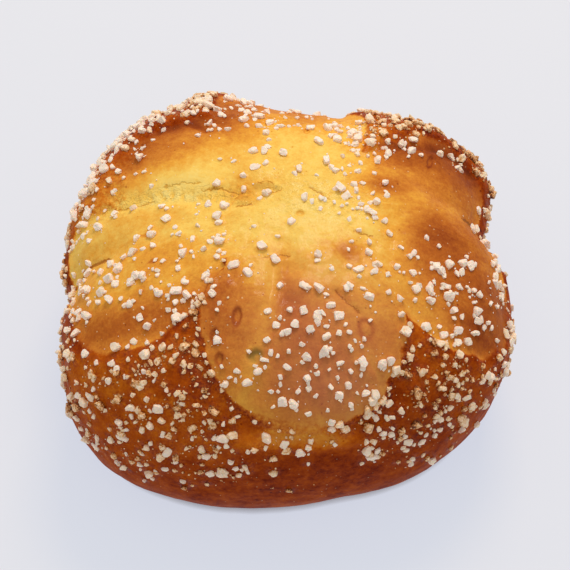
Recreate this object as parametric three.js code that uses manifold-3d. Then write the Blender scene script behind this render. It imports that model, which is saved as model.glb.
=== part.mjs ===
// A round sugar brioche whose top was snipped crosswise before baking. The two snips opened into
// smooth lobes of pale dough, and between them four corners of the first crust stand a little proud,
// two of them lifted into ridges at the back. Pearl sugar is baked on. All of it is one closed solid.
// Millimetres, +Z up, front towards -Y, right towards +X, resting on z = 0.

import * as THREE from 'three';
import { mergeVertices } from 'three/addons/utils/BufferGeometryUtils.js';
import Module from 'manifold-3d';

// ---------- driving dimensions of the loaf ----------

const DOME_TOP = 88; // height of the dome, without lobes and ridges
const GIRTH_HEIGHT = 34; // height of the widest ring
// from the axis out to the widest ring, every 30 degrees, anticlockwise from the right
const GIRTH_REACH = [84.5, 85, 82, 80, 85, 86, 83, 95, 89.5, 80.5, 82.5, 88.5];
const BELLY_DEPTH = 60; // how far below the girth the sides would close if there were no base
const DOME_FULLNESS = 2.35; // exponent of the dome's section: 2 is an ellipse, more is squarer
const BELLY_FULLNESS = 2.4; // the same below the girth
const BASE_ROUNDING = 6; // height over which the sides turn into the flat base
const AXIS_PLACE = [0.57, -0.78]; // the axis in x and y, so that the middle of the whole box is at 0, 0

// A spot on the loaf is named by its lean: how far its direction, seen from the middle of the girth,
// leans to the right and to the back. Lean 0 is straight up and lean 1 is level with the girth.

// The snips' lobes and the slopes between them, which hold no first crust: middle and half size in lean
const FRONT_LOBE = { middle: [0.06, -0.37], half: [0.36, 0.37] };
const LOBES = [
  FRONT_LOBE,
  { middle: [-0.515, -0.1], half: [0.27, 0.32] }, // left lobe
  { middle: [-0.7, -0.02], half: [0.18, 0.22] }, // and its outer end
  { middle: [0.6, -0.1], half: [0.28, 0.3] }, // right lobe
  { middle: [0.72, -0.02], half: [0.17, 0.24] }, // and its outer end
  { middle: [0.01, 0.56], half: [0.3, 0.46] }, // back lobe
  { middle: [-0.23, 0.2], half: [0.43, 0.36] }, // slope inside the back left ridge
  { middle: [0.55, 0.2], half: [0.28, 0.3] }, // slope inside the back right ridge
  { middle: [0.1, 0.1], half: [0.36, 0.36] }, // torn middle
];
// step from a lobe up to the first crust: its height in front and at the back, where the crust is lifted
const CRUST_LIP = { front: 2.2, back: 3.4, width: 0.12, softness: 0.02 };

// Ridges stand out and valleys go in, along lines in lean. Height in mm, half width in lean.
const BACK_LEFT_RIDGE = {
  along: [[-0.27, 0.8], [-0.42, 0.7], [-0.57, 0.6], [-0.68, 0.45], [-0.76, 0.28], [-0.84, 0.1]],
  height: [3.2, 3.6],
  width: 0.13,
};
const BACK_RIGHT_RIDGE = {
  along: [[0.5, 0.57], [0.64, 0.6], [0.77, 0.55], [0.83, 0.46]],
  height: [4, 4],
  width: 0.15,
};
const LINES = [
  BACK_LEFT_RIDGE,
  BACK_RIGHT_RIDGE,
  {
    // valley between the back right slope and the right lobe, deepest at the side
    along: [[0.3, 0.42], [0.45, 0.37], [0.6, 0.24], [0.74, 0.18], [0.98, 0.17]],
    height: [-1.5, -4],
    width: 0.08,
  },
  {
    // tear across the left lobe
    along: [[-0.98, -0.1], [-0.845, -0.05], [-0.67, -0.03]],
    height: [-3, -2],
    width: 0.06,
  },
  {
    // long tear between the left lobe and the back left slope
    along: [[-0.68, 0.2], [-0.48, 0.19], [-0.27, 0.16], [-0.12, 0.17]],
    height: [-1.8, -1.8],
    width: 0.06,
  },
];

// Swellings and hollows: height in mm, the rest in lean
const SWELLS = [
  { height: 1.5, middle: [-0.29, 0.82], half: [0.1, 0.14] }, // peak of the back left ridge
  { height: 6, middle: [0.85, 0.6], half: [0.15, 0.15] }, // back right shoulder
  { height: -4, middle: [0.12, 0.8], half: [0.24, 0.3] }, // saddle of the back lobe
  { height: -6.5, middle: [0.95, 0.28], half: [0.22, 0.16] }, // notch in the right side
  { height: -1.8, middle: [0.93, -0.16], half: [0.16, 0.22] }, // flatter right side
  { height: -2.8, middle: [-0.9, -0.28], half: [0.16, 0.2] }, // flatter left side
  { height: 3.2, middle: [0.065, -0.4], half: [0.3, 0.3] }, // front lobe
  { height: -2, middle: [-0.02, -0.24], half: [0.06, 0.14] }, // seam down its upper part
  { height: 2, middle: [-0.62, -0.22], half: [0.3, 0.18] }, // left lobe
  { height: 2, middle: [0.68, -0.14], half: [0.26, 0.2] }, // right lobe
];
const FRONT_STEP = { height: 2, softness: 0.02 }; // the front lobe swells over the edge of its cut
const FRONT_MOAT = { depth: 1.8, out: 0.03, width: 0.04 }; // crease round its lower edge
const RELIEF_ENDS = [1.1, 1.5]; // below these leans the relief fades out

// ---------- driving dimensions of the pearl sugar ----------

const SUGAR_SEED = 20;
const SUGAR_SPOTS = 16000; // spots looked at, spread evenly over all directions
const SPOT_SHAKE = 0.022; // how far a spot strays from its even place, in parts of the sphere's radius
const GRAIN_RADIUS = [0.8, 2]; // smallest and largest grain
const GRAIN_CLEARANCE = 0.6; // grains keep this share of their two radii apart
const GRAIN_LIFT = 0.3; // share of its radius that a grain's middle stands above the crust
const GRAIN_ROUGHNESS = 0.22; // share of its radius by which a grain's corners go in and out
const GRAIN_SHAPE = new THREE.Vector3(1.3, 0.85, 0.8); // length, breadth and height, in radii
const LARGEST_GRAINS = 135; // this many are fused on, the largest first

// Grains for each square centimetre: on the opened top, and on the first crust until the sides turn under
const SUGAR_ON_TOP = 1.8;
const SUGAR_ON_CRUST = 8.5;
const SUGAR_ENDS = [0.72, 1.07]; // leans between which the sugar on the sides peters out
// more or fewer of them in these places
const SUGAR_PATCHES = [
  { more: 7, middle: [0.1, -0.53], half: [0.19, 0.17] }, // lower right of the front lobe
  { more: -2, middle: [-0.12, -0.36], half: [0.16, 0.26] }, // its bare left half
  { more: -2, middle: [0.34, -0.34], half: [0.08, 0.1] }, // and its upper right edge
  { more: 5, middle: [-0.56, -0.15], half: [0.3, 0.13] }, // left lobe
  { more: 5, middle: [-0.27, -0.13], half: [0.09, 0.07] }, // its inner end
  { more: -5, middle: [-0.62, -0.34], half: [0.1, 0.07] }, // and its bare lower end
  { more: 7, middle: [-0.36, -0.34], half: [0.09, 0.1] }, // tip of the front left corner
  { more: 7, middle: [-0.6, -0.76], half: [0.28, 0.1] }, // its foot
  { more: 6, middle: [0.6, -0.7], half: [0.16, 0.1] }, // foot of the front right corner
  { more: -3, middle: [0.74, -0.5], half: [0.12, 0.14] }, // and its outer side
  { more: 4.5, middle: [0.55, -0.26], half: [0.14, 0.16] }, // right lobe
  { more: 4, middle: [0.82, -0.04], half: [0.1, 0.18] }, // and its outer end
  { more: 6.5, middle: [0.24, 0.2], half: [0.12, 0.12] }, // right of the torn middle
  { more: 4, middle: [0.35, 0.02], half: [0.1, 0.16] },
  { more: 6.5, middle: [-0.14, 0.64], half: [0.13, 0.11] }, // back lobe, beside the peak
  { more: 8, middle: [0.27, 0.54], half: [0.1, 0.09] }, // and at its right end
  { more: 16, middle: [0.38, 0.47], half: [0.08, 0.06] }, // back right corner's tip
  { more: -2, middle: [-0.45, 0.38], half: [0.2, 0.12] }, // bare slopes below the back ridges
  { more: -2, middle: [0.6, 0.3], half: [0.18, 0.14] },
  { more: -6, middle: [0.66, 0.13], half: [0.14, 0.1] },
  { more: -9, middle: [0.12, -0.92], half: [0.36, 0.14] }, // front wall
];
const SUGAR_ON_RIDGES = { more: 20, out: 0.05, width: 0.12 }; // nearly continuous along both ridges

// ---------- the loaf's surface ----------

const bell = (x) => Math.exp(-x * x);
const ramp = (x, from, to) => Math.min(Math.max((x - from) / (to - from), 0), 1);
const rise = (x, softness) => 1 / (1 + Math.exp(-x / softness));

/** Distance from the axis to the widest ring, a smooth curve through GIRTH_REACH. */
function girthReach(turn) {
  const count = GIRTH_REACH.length;
  return GIRTH_REACH.reduce((sum, reach, index) => {
    const off = turn - (index * 2 * Math.PI) / count;
    const half = Math.atan2(Math.sin(off), Math.cos(off)) / 2;
    const weight = Math.abs(half) < 1e-9 ? 1 : Math.sin(count * half) / (count * Math.tan(half));
    return sum + reach * weight;
  }, 0);
}

/** How deep a spot lies inside a lobe, in lean; negative outside. */
function depthInside(lobe, p, q) {
  const across = (p - lobe.middle[0]) / lobe.half[0];
  const along = (q - lobe.middle[1]) / lobe.half[1];
  return (1 - Math.hypot(across, along)) * Math.min(...lobe.half);
}

/** How deep a spot lies inside the opened top; negative on the first crust. */
const opening = (p, q) => Math.max(...LOBES.map((lobe) => depthInside(lobe, p, q)));

/** Distance from a line in lean, and how far along it that is, from 0 to 1. */
function offLine(line, p, q) {
  const pieces = line.along.length - 1;
  let nearest = Infinity;
  let share = 0;
  for (let i = 0; i < pieces; i++) {
    const [p0, q0] = line.along[i];
    const [dp, dq] = [line.along[i + 1][0] - p0, line.along[i + 1][1] - q0];
    const t = ramp((p - p0) * dp + (q - q0) * dq, 0, dp * dp + dq * dq);
    const distance = Math.hypot(p - p0 - t * dp, q - q0 - t * dq);
    if (distance < nearest) {
      nearest = distance;
      share = (i + t) / pieces;
    }
  }
  return [nearest, share];
}

/** Height that a ridge or valley adds at a spot. */
function lineHeight(line, p, q) {
  const [distance, share] = offLine(line, p, q);
  return THREE.MathUtils.lerp(...line.height, share) * bell(distance / line.width);
}

/** How much a round patch is felt at a spot, from 0 to 1. */
function patchShare(patch, p, q) {
  const across = (p - patch.middle[0]) / patch.half[0];
  const along = (q - patch.middle[1]) / patch.half[1];
  return bell(Math.hypot(across, along));
}

/** Height of all lobes, ridges, valleys and lips over the plain dome. */
function relief(p, q) {
  let height = 0;
  for (const line of LINES) height += lineHeight(line, p, q);
  for (const swell of SWELLS) height += swell.height * patchShare(swell, p, q);
  const inFront = depthInside(FRONT_LOBE, p, q);
  height += FRONT_STEP.height * rise(inFront, FRONT_STEP.softness) * ramp(-q, 0.1, 0.4);
  height -= FRONT_MOAT.depth * bell((inFront + FRONT_MOAT.out) / FRONT_MOAT.width) * ramp(-q, 0.3, 0.5);
  const inside = opening(p, q);
  const lip = THREE.MathUtils.lerp(CRUST_LIP.front, CRUST_LIP.back, ramp(q, 0.1, 0.4));
  height += lip * rise(-inside, CRUST_LIP.softness) * bell(inside / CRUST_LIP.width);
  return height;
}

/** Lean of a direction to the right and to the back, and its whole lean. */
function leanOf(direction) {
  const tilt = Math.acos(THREE.MathUtils.clamp(direction.z, -1, 1)) / (Math.PI / 2);
  const turn = Math.atan2(direction.y, direction.x);
  return [tilt * Math.cos(turn), tilt * Math.sin(turn), tilt];
}

/** The point of the loaf's surface in a direction from the middle of the girth. */
function surfacePoint(direction) {
  const [p, q, tilt] = leanOf(direction);
  const isDome = direction.z >= 0;
  const fullness = isDome ? DOME_FULLNESS : BELLY_FULLNESS;
  const outward = Math.hypot(direction.x, direction.y) / girthReach(Math.atan2(direction.y, direction.x));
  const upward = Math.abs(direction.z) / (isDome ? DOME_TOP - GIRTH_HEIGHT : BELLY_DEPTH);
  const plain = (outward ** fullness + upward ** fullness) ** (-1 / fullness);
  const point = direction.clone().multiplyScalar(plain + relief(p, q) * (1 - ramp(tilt, ...RELIEF_ENDS)));
  point.z += GIRTH_HEIGHT;
  if (point.z < BASE_ROUNDING) {
    point.z = Math.max(point.z + BASE_ROUNDING, 0) ** 2 / (4 * BASE_ROUNDING);
  }
  return point.add(new THREE.Vector3(AXIS_PLACE[0], AXIS_PLACE[1], 0));
}

/** The way the surface faces at a direction, from two short steps along it. */
function surfaceNormal(direction) {
  const step = 0.02;
  const side = new THREE.Vector3().crossVectors(direction, new THREE.Vector3(0.3, 0.2, 1)).normalize();
  const other = new THREE.Vector3().crossVectors(direction, side);
  const at = (along, sign) => surfacePoint(direction.clone().addScaledVector(along, sign * step).normalize());
  const first = at(side, 1).sub(at(side, -1));
  const second = at(other, 1).sub(at(other, -1));
  return first.cross(second).normalize();
}

// ---------- the loaf ----------

const CELLS = 22; // cells along each edge of the cube that is blown up into the loaf
const CROWDING = 0.3; // share by which cells are smaller on top and larger below

/** The bare loaf: a cube's grid blown up to the surface, its cells crowded towards the top. */
function loafGeometry() {
  const grid = new THREE.BoxGeometry(2, 2, 2, CELLS, CELLS, CELLS);
  const position = grid.getAttribute('position');
  const corner = new THREE.Vector3();
  for (let i = 0; i < position.count; i++) {
    corner.fromBufferAttribute(position, i);
    corner.set(...corner.toArray().map((along) => Math.tan((along * Math.PI) / 4))).normalize();
    const tilt = Math.acos(corner.z);
    const crowded = tilt - CROWDING * Math.sin(tilt);
    const turn = Math.atan2(corner.y, corner.x);
    corner.set(Math.sin(crowded) * Math.cos(turn), Math.sin(crowded) * Math.sin(turn), Math.cos(crowded));
    position.setXYZ(i, ...surfacePoint(corner).toArray());
  }
  return grid;
}

// ---------- the pearl sugar ----------

/** A repeatable stream of numbers from 0 to 1. */
function makeRandom(seed) {
  let state = seed;
  return () => {
    state = (Math.imul(state, 1664525) + 1013904223) >>> 0;
    return state / 2 ** 32;
  };
}

/** Grains for each square centimetre at a lean. */
function sugarDensity(p, q, tilt) {
  const onCrust = rise(-opening(p, q), CRUST_LIP.softness);
  let density = SUGAR_ON_TOP + (SUGAR_ON_CRUST - SUGAR_ON_TOP) * onCrust;
  for (const patch of SUGAR_PATCHES) density += patch.more * patchShare(patch, p, q);
  const shrink = 1 - SUGAR_ON_RIDGES.out / Math.max(tilt, SUGAR_ON_RIDGES.out);
  for (const ridge of [BACK_LEFT_RIDGE, BACK_RIGHT_RIDGE]) {
    const [distance] = offLine(ridge, p * shrink, q * shrink);
    density += SUGAR_ON_RIDGES.more * bell(distance / SUGAR_ON_RIDGES.width) * onCrust;
  }
  return Math.max(density, 0) * (1 - ramp(tilt, ...SUGAR_ENDS));
}

/** Every grain of sugar on the loaf, as direction, place and radius, the largest first. */
function scatterSugar() {
  const random = makeRandom(SUGAR_SEED);
  const goldenTurn = Math.PI * (3 - Math.sqrt(5));
  const grains = [];
  for (let i = 0; i < SUGAR_SPOTS; i++) {
    const height = 1 - (2 * i + 1) / SUGAR_SPOTS;
    const level = Math.sqrt(1 - height * height);
    const direction = new THREE.Vector3(
      level * Math.cos(i * goldenTurn) + SPOT_SHAKE * (2 * random() - 1),
      level * Math.sin(i * goldenTurn) + SPOT_SHAKE * (2 * random() - 1),
      height + SPOT_SHAKE * (2 * random() - 1),
    ).normalize();
    const chance = random();
    const size = random();
    const [p, q, tilt] = leanOf(direction);
    if (tilt > SUGAR_ENDS[1]) continue;
    const place = surfacePoint(direction);
    const reach = Math.hypot(place.x - AXIS_PLACE[0], place.y - AXIS_PLACE[1], place.z - GIRTH_HEIGHT);
    const spotArea = (4 * Math.PI * reach * reach) / SUGAR_SPOTS / 100;
    if (chance > sugarDensity(p, q, tilt) * spotArea) continue;
    const radius = GRAIN_RADIUS[0] + (GRAIN_RADIUS[1] - GRAIN_RADIUS[0]) * size * size;
    grains.push({ direction, place, radius });
  }
  grains.sort((one, other) => other.radius - one.radius);
  const kept = [];
  for (const grain of grains) {
    const isFree = kept.every((other) =>
      grain.place.distanceTo(other.place) > GRAIN_CLEARANCE * (grain.radius + other.radius));
    if (isFree) kept.push(grain);
  }
  return kept;
}

/** One angular grain, a knobbly icosahedron that is a little flattened against the crust. */
function grainGeometry(grain, random) {
  const shape = new THREE.IcosahedronGeometry(1, 0);
  shape.deleteAttribute('normal');
  shape.deleteAttribute('uv');
  const geometry = mergeVertices(shape);
  const position = geometry.getAttribute('position');
  const corner = new THREE.Vector3();
  for (let i = 0; i < position.count; i++) {
    corner.fromBufferAttribute(position, i).multiplyScalar(1 + GRAIN_ROUGHNESS * (2 * random() - 1));
    position.setXYZ(i, ...corner.multiply(GRAIN_SHAPE).toArray());
  }
  const normal = surfaceNormal(grain.direction);
  const upright = new THREE.Quaternion().setFromUnitVectors(new THREE.Vector3(0, 0, 1), normal);
  const spin = new THREE.Quaternion().setFromAxisAngle(new THREE.Vector3(0, 0, 1), 2 * Math.PI * random());
  const middle = grain.place.clone().addScaledVector(normal, GRAIN_LIFT * grain.radius);
  const size = new THREE.Vector3().setScalar(grain.radius);
  return geometry.applyMatrix4(new THREE.Matrix4().compose(middle, upright.multiply(spin), size));
}

// ---------- fusing ----------

const wasm = await Module();
wasm.setup();

/** A closed geometry as a solid that can be joined. */
function solidFrom(geometry) {
  geometry.deleteAttribute('normal');
  geometry.deleteAttribute('uv');
  const merged = mergeVertices(geometry, 1e-4);
  return new wasm.Manifold(new wasm.Mesh({
    numProp: 3,
    vertProperties: new Float32Array(merged.getAttribute('position').array),
    triVerts: new Uint32Array(merged.getIndex().array),
  }));
}

/** A solid's outer shell as a geometry; loose scraps are dropped. */
function geometryFrom(solid) {
  const whole = solid.decompose().sort((one, other) => other.volume() - one.volume())[0];
  const { vertProperties, triVerts } = whole.getMesh();
  const geometry = new THREE.BufferGeometry();
  geometry.setAttribute('position', new THREE.BufferAttribute(vertProperties, 3));
  geometry.setIndex(new THREE.BufferAttribute(triVerts, 1));
  geometry.computeVertexNormals();
  return geometry;
}

/** The loaf with its largest grains of sugar fused on. */
function briocheGeometry() {
  const random = makeRandom(SUGAR_SEED + 1);
  let solid = solidFrom(loafGeometry());
  for (const grain of scatterSugar().slice(0, LARGEST_GRAINS)) {
    solid = solid.add(solidFrom(grainGeometry(grain, random)));
  }
  return geometryFrom(solid);
}

// ---------- the model ----------

const bakedCrust = new THREE.MeshStandardMaterial({ color: '#b8702a', roughness: 0.45, metalness: 0 });
const brioche = new THREE.Mesh(briocheGeometry(), bakedCrust);
brioche.name = 'brioche';

const loaf = new THREE.Group();
loaf.add(brioche);

export default loaf;
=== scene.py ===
import math

import bpy
import numpy as np
from mathutils import Euler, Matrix, Vector, kdtree, noise


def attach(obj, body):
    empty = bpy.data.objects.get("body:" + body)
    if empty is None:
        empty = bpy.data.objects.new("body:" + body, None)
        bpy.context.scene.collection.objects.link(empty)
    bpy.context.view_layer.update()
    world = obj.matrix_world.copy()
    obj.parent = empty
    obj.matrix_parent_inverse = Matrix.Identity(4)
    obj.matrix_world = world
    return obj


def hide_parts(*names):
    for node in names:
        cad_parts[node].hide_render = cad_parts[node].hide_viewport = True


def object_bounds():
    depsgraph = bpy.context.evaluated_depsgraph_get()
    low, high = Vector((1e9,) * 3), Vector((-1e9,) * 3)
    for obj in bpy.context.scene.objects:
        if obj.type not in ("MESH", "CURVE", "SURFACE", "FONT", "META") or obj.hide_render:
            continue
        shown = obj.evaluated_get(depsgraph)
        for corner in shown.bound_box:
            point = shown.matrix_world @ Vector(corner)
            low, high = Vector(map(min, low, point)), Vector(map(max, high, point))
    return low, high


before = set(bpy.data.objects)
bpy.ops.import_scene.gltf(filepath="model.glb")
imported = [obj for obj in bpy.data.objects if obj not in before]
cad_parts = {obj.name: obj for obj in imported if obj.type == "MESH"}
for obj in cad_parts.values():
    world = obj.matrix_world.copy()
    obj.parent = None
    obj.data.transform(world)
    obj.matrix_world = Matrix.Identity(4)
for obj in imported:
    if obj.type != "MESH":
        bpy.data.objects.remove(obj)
cad_low, cad_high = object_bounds()

# ======================================================================================================
# The loaf
# A round sugar brioche: sweet yeast dough, rich in butter and egg yolk, brushed with egg and baked on a
# tray. Its top was snipped crosswise. The snips opened into smooth pale lobes, and four corners of the
# first, well browned crust stay proud between them, two of them lifted into ridges at the back.
# ======================================================================================================

MM = 0.001  # all sizes below are millimetres, and each mesh is scaled to metres once

DOME_TOP = 88  # height of the dome, without lobes and ridges
GIRTH_HEIGHT = 34  # height of the widest ring
# from the axis out to the widest ring, every 30 degrees, anticlockwise from the right
GIRTH_REACH = [84.5, 85, 82, 80, 85, 86, 83, 95, 89.5, 80.5, 82.5, 88.5]
BELLY_DEPTH = 60  # how far below the girth the sides would close if there were no base
DOME_FULLNESS = 2.35  # exponent of the dome's section: 2 is an ellipse, more is squarer
BELLY_FULLNESS = 2.4
BASE_ROUNDING = 6  # height over which the sides turn into the flat base
AXIS_PLACE = [0.57, -0.78]  # where the loaf's axis stands, so that its box is centred

# A spot on the loaf is named by its lean: how far its direction, seen from the middle of the girth,
# leans to the right (p) and to the back (q). Lean 0 is straight up and lean 1 is level with the girth.

# the lobes and the slopes between them, as ellipses: middle and half size in lean
FRONT_LOBE = {"middle": (0.06, -0.37), "half": (0.36, 0.37)}
LOBES = [
    FRONT_LOBE,
    {"middle": (-0.515, -0.1), "half": (0.27, 0.32)},  # left lobe
    {"middle": (-0.7, -0.02), "half": (0.18, 0.22)},  # and its outer end
    {"middle": (0.6, -0.1), "half": (0.28, 0.3)},  # right lobe
    {"middle": (0.72, -0.02), "half": (0.17, 0.24)},  # and its outer end
    {"middle": (0.01, 0.56), "half": (0.3, 0.46)},  # back lobe
    {"middle": (-0.23, 0.2), "half": (0.43, 0.36)},  # slope inside the back left ridge
    {"middle": (0.55, 0.2), "half": (0.28, 0.3)},  # slope inside the back right ridge
    {"middle": (0.1, 0.1), "half": (0.36, 0.36)},  # torn middle
]
# the first crust's lip: its height in mm at the front and the back, and the leans between which it grows
CRUST_LIP = {"front": 2.2, "back": 3.4, "grows": (0.1, 0.4), "width": 0.12, "softness": 0.02}

# ridges stand out and valleys go in, along lines in lean; height in mm, half width in lean
BACK_LEFT_RIDGE = {
    "along": [(-0.27, 0.8), (-0.42, 0.7), (-0.57, 0.6), (-0.68, 0.45), (-0.76, 0.28), (-0.84, 0.1)],
    "height": (3.2, 3.6),
    "width": 0.13,
}
BACK_RIGHT_RIDGE = {
    "along": [(0.5, 0.57), (0.64, 0.6), (0.77, 0.55), (0.83, 0.46)],
    "height": (4, 4),
    "width": 0.15,
}
RIGHT_VALLEY = {
    "along": [(0.3, 0.42), (0.45, 0.37), (0.6, 0.24), (0.74, 0.18), (0.98, 0.17)],
    "height": (-1.5, -4),
    "width": 0.08,
}
LEFT_TEAR = {"along": [(-0.98, -0.1), (-0.845, -0.05), (-0.67, -0.03)], "height": (-3, -2), "width": 0.06}
LONG_TEAR = {
    "along": [(-0.68, 0.2), (-0.48, 0.19), (-0.27, 0.16), (-0.12, 0.17)],
    "height": (-1.8, -1.8),
    "width": 0.06,
}
LINES = [BACK_LEFT_RIDGE, BACK_RIGHT_RIDGE, RIGHT_VALLEY, LEFT_TEAR, LONG_TEAR]

# swellings and hollows: height in mm, the rest in lean
SWELLS = [
    {"height": 1.5, "middle": (-0.29, 0.82), "half": (0.1, 0.14)},  # peak of the back left ridge
    {"height": 6, "middle": (0.85, 0.6), "half": (0.15, 0.15)},  # back right shoulder
    {"height": -4, "middle": (0.12, 0.8), "half": (0.24, 0.3)},  # saddle of the back lobe
    {"height": -6.5, "middle": (0.95, 0.28), "half": (0.22, 0.16)},  # notch in the right side
    {"height": -1.8, "middle": (0.93, -0.16), "half": (0.16, 0.22)},  # flatter right side
    {"height": -2.8, "middle": (-0.9, -0.28), "half": (0.16, 0.2)},  # flatter left side
    {"height": 3.2, "middle": (0.065, -0.4), "half": (0.3, 0.3)},  # front lobe
    {"height": -2, "middle": (-0.02, -0.24), "half": (0.06, 0.14)},  # seam down its upper part
    {"height": 2, "middle": (-0.62, -0.22), "half": (0.3, 0.18)},  # left lobe
    {"height": 2, "middle": (0.68, -0.14), "half": (0.26, 0.2)},  # right lobe
]
# the front lobe's rim stands up and a moat runs round it, both only from these leans to the front on
FRONT_STEP = {"height": 2, "softness": 0.02, "from": (0.1, 0.4)}
FRONT_MOAT = {"depth": 1.8, "out": 0.03, "width": 0.04, "from": (0.3, 0.5)}
RELIEF_ENDS = (1.1, 1.5)  # leans between which all relief dies away down the sides

# Finer relief, which only shows from near. Height in mm, the rest in lean.
RIGHT_FOOT = {
    "along": [(0.37, 0.437), (0.43, 0.44), (0.5, 0.442), (0.57, 0.455), (0.64, 0.47), (0.74, 0.43)]
}
LEFT_FOOT = {"along": [(-0.32, 0.5), (-0.37, 0.545), (-0.5, 0.5), (-0.56, 0.42)]}
CRISPNESS = 0.4  # edges of the first crust are this much sharper than their soft fold
FINE_LINES = [
    # the front lobe's seam: a welt with a groove on its left
    {
        "along": [(-0.02, -0.18), (-0.025, -0.3), (-0.055, -0.4), (-0.085, -0.47)],
        "height": (0.8, 0.2),
        "width": 0.014,
    },
    {"along": [(-0.055, -0.17), (-0.06, -0.3), (-0.09, -0.4)], "height": (-0.8, -0.2), "width": 0.016},
    # a crease in it
    {"along": [(0.19, -0.3), (0.22, -0.33), (0.264, -0.364)], "height": (-0.9, -0.5), "width": 0.014},
    # flap of dough in the torn middle
    {"along": [(-0.13, 0.215), (-0.08, 0.222), (-0.04, 0.2)], "height": (1.1, 0.8), "width": 0.011},
    {"along": [(-0.13, 0.195), (-0.085, 0.2), (-0.05, 0.185)], "height": (-0.4, -0.3), "width": 0.012},
    # foot of each back ridge
    {**RIGHT_FOOT, "height": (-0.7, -1), "width": 0.014},
    {**LEFT_FOOT, "height": (-1, -0.5), "width": 0.014},
    # roll of dough in front of the front lobe
    {
        "along": [(-0.2, -0.765), (-0.03, -0.785), (0.12, -0.79), (0.28, -0.755)],
        "height": (1.2, 1.2),
        "width": 0.022,
    },
]
# Cracks are finer than the mesh: the material draws them, with painted shade in their gaps. Half the gap is
# in mm.
CRACKS = [
    {"along": [(-0.9, -0.06), (-0.83, -0.036), (-0.75, -0.03), (-0.66, -0.05)], "gap": 0.7},  # left lobe
    # the long tear's upper and lower edges
    {"along": [(-0.5, 0.235), (-0.42, 0.24), (-0.34, 0.232)], "gap": 0.2},
    {"along": [(-0.36, 0.2), (-0.28, 0.205), (-0.2, 0.18)], "gap": 0.32},
    {"along": [(-0.67, 0.18), (-0.6, 0.17), (-0.52, 0.18)], "gap": 0.3},
    {"along": [(0.7, 0.18), (0.74, 0.205), (0.78, 0.21), (0.85, 0.25)], "gap": 0.45},  # right side
    {"along": [(0.18, -0.29), (0.22, -0.33), (0.27, -0.37)], "gap": 0.2},  # front lobe
    {"along": [(-0.11, -0.165), (-0.024, -0.15), (0.02, -0.16)], "gap": 0.12},
    {"along": [(0.09, 0.2), (0.139, 0.171), (0.184, 0.129)], "gap": 0.25},  # torn middle
    {"along": [(0.27, -0.02), (0.304, -0.034), (0.35, -0.04)], "gap": 0.2},
    {"along": [(-0.13, 0.215), (-0.09, 0.228), (-0.05, 0.21)], "gap": 0.22},  # flap
    {"along": [(-0.1, 0.18), (-0.06, 0.178), (-0.02, 0.19)], "gap": 0.18},
    {"along": [(-0.22, 0.1), (-0.185, 0.105), (-0.15, 0.12)], "gap": 0.3},
]
CRACK_DEPTH = 1.2  # depth of the groove along each, in parts of half its gap
CRACK_GROOVE = 0.9  # mm, its half width
CRACK_TAPER = 0.12  # share of a crack's length over which each of its ends narrows
CRACK_FADE = (2.5, 2)  # mm from its line, past which a crack leaves no trace
MM_OF_LEAN = 100  # on the top a lean of 1 is about this far


def patch(more, middle, half):
    """So much more, or less, of something round a middle, out to about its half size; both in lean."""
    return {"more": more, "middle": middle, "half": half}


PITS = [
    patch(-1.5, (-0.181, -0.384), (0.015, 0.027)),  # beside the front lobe's left edge
    patch(-1.4, (-0.255, -0.439), (0.013, 0.021)),
    patch(-1.2, (-0.235, -0.509), (0.012, 0.017)),
    patch(-0.8, (0.056, 0.061), (0.014, 0.012)),  # in the torn middle
    patch(-0.6, (0.079, 0.522), (0.01, 0.018)),
    patch(-0.5, (-0.54, 0.006), (0.012, 0.006)),  # on the left lobe
    patch(-0.5, (-0.492, -0.126), (0.012, 0.005)),
    patch(-0.6, (0.549, 0.389), (0.008, 0.024)),  # below the back right ridge
]
OPEN_PORE = patch(-1.6, (-0.111, -0.512), (0.027, 0.02))  # in the front lobe
BURST_BLISTER = patch(-0.7, (0.282, -0.412), (0.025, 0.03))
PORE_MIDDLE = patch(0.9, (-0.107, -0.519), (0.01, 0.008))
FINE_SPOTS = [
    *PITS,
    OPEN_PORE,
    PORE_MIDDLE,
    BURST_BLISTER,
    patch(0.8, (0.284, -0.414), (0.017, 0.021)),
    patch(0.5, (0.292, -0.549), (0.02, 0.02)),  # whole blister
    patch(0.9, (-0.19, 0.14), (0.05, 0.03)),  # rough patch at the long tear's end
]
# The long tear's spongy floor has strands that run across it, and the torn middle has pores. Depths and
# sizes are mm; level and open tell which waves stay flat and which are pores.
TORN_CRUMB = {"depth": 1, "strand": 1.5, "across": [1, 0.45, 0.45], "level": 0.4, "width": 0.04, "end": 0.8}
SPONGE = {"depth": 0.5, "strand": 1.6, "open": (0.25, 0.7)}
SPONGY_SPOTS = [
    patch(1, (0.12, 0.16), (0.26, 0.16)),  # torn middle
    patch(1.6, (-0.19, 0.14), (0.06, 0.035)),  # rough patch at the long tear's end
]
GRAIN_COLLAR = {"height": 0.3, "width": 0.5}  # mm; the dough rises a little round each grain of sugar
UNEVENNESS = [(34, 0.9), (9, 0.22), (3.2, 0.06)]  # size and depth of the dough's waves
UNEVENNESS_SINK = 0.5  # share of its depth that each is sunk by, so that the loaf doesn't grow
EDGE_SOFTNESS = {"sharp": 0.004, "blurred": 0.04}  # lean over which crust turns into opened dough
BLURRED_EDGES = [
    patch(1, (0.03, -0.74), (0.17, 0.07)),  # the front lobe's lower end
    patch(1, (-0.68, 0.32), (0.12, 0.16)),  # below the back left ridge
]
EDGE_WANDER = {"size": 9, "reach": 0.02}  # the crust's edge strays by this lean, in waves of this many mm


def bell(x):
    return np.exp(-np.square(x))


def ramp(x, start, end):
    return np.clip((x - start) / (end - start), 0, 1)


def rise(x, softness):
    return 1 / (1 + np.exp(-np.clip(x / softness, -60, 60)))


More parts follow.
